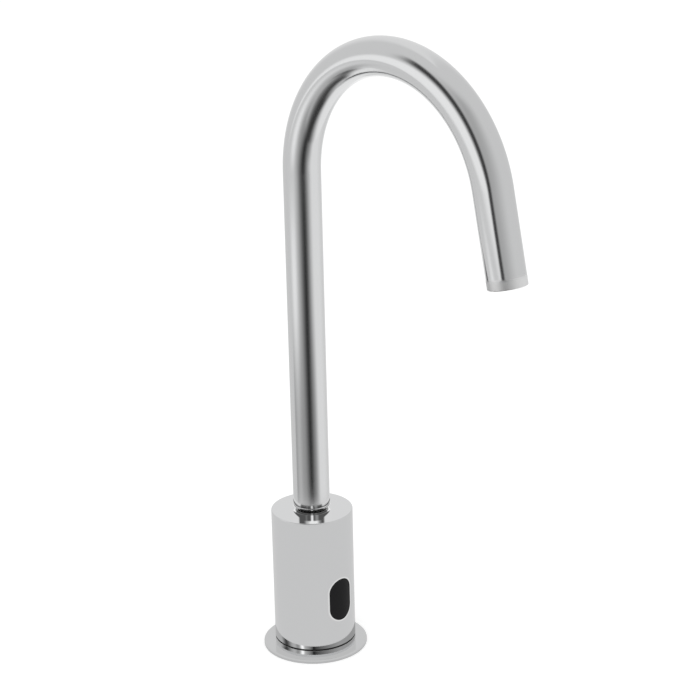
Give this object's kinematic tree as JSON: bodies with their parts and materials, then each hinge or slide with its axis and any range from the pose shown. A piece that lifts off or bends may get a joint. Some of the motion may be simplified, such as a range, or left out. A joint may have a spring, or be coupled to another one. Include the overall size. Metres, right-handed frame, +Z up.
{
  "type": "sensor tap",
  "caption": "Deck-mounted swan-neck tap: round body with an infrared eye, small solenoid valve inside and a swivelling tube spout with aerator.",
  "frame": {"origin": "centre of the deck flange's underside, on the body's axis", "axes": "+Z up along the body's axis, -Y the way the sensor window and the spout face, +X completes the right-handed frame"},
  "size_m": [0.063, 0.2022, 0.3835],
  "materials": {
    "chrome_polished": "polished chrome plate",
    "chrome_body": "polished chrome plate, softly reflecting on the side wall",
    "seal_black": "matt black rubber",
    "lens_dark": "glossy near-black infrared window",
    "plastic_black": "matt black moulding",
    "plastic_white": "matt white moulding",
    "board_green": "solder resist",
    "diode_clear": "clear epoxy",
    "led_red": "clear red epoxy",
    "brass_bare": "turned brass",
    "steel_bare": "bare stainless steel"
  },
  "bodies": {
    "base": {"base_flange": "chrome_polished", "body_shell": "chrome_body", "body_seal": "seal_black", "cable_grommet": "seal_black", "spout_seal": "seal_black", "slide_ring": "seal_black", "diaphragm": "seal_black", "sensor_lens": "lens_dark", "sensor_housing": "plastic_black", "eye_divider": "plastic_black", "coil": "plastic_black", "valve_bonnet": "plastic_black", "sensor_board": "board_green", "ir_emitter": "diode_clear", "ir_receiver": "diode_clear", "status_led": "led_red", "valve_body": "brass_bare", "inlet_connector": "brass_bare", "stop_screw": "steel_bare", "sensor_clip": "steel_bare", "plunger_spring": "steel_bare", "coil_yoke": "steel_bare", "inlet_screen": "steel_bare"},
    "spout": {"spout_adapter": "chrome_polished", "spout_tube": "chrome_polished", "aerator_cup": "plastic_white", "aerator_screen": "steel_bare", "flow_regulator": "plastic_white"},
    "armature": {"plunger": "steel_bare"}
  },
  "joints": [
    {"name": "spout_swivel", "type": "hinge", "parent": "base", "child": "spout", "pos_m": [0, 0, 0.0885], "axis": [0, 0, 1], "range_deg": [-60, 60]},
    {"name": "plunger_slide", "type": "slide", "parent": "base", "child": "armature", "axis": [1, 0, 0], "range_m": [0, 0.0015], "stiffness_N_per_m": 300, "springref_m": -0.001, "deforming": ["plunger_spring"]}
  ]
}
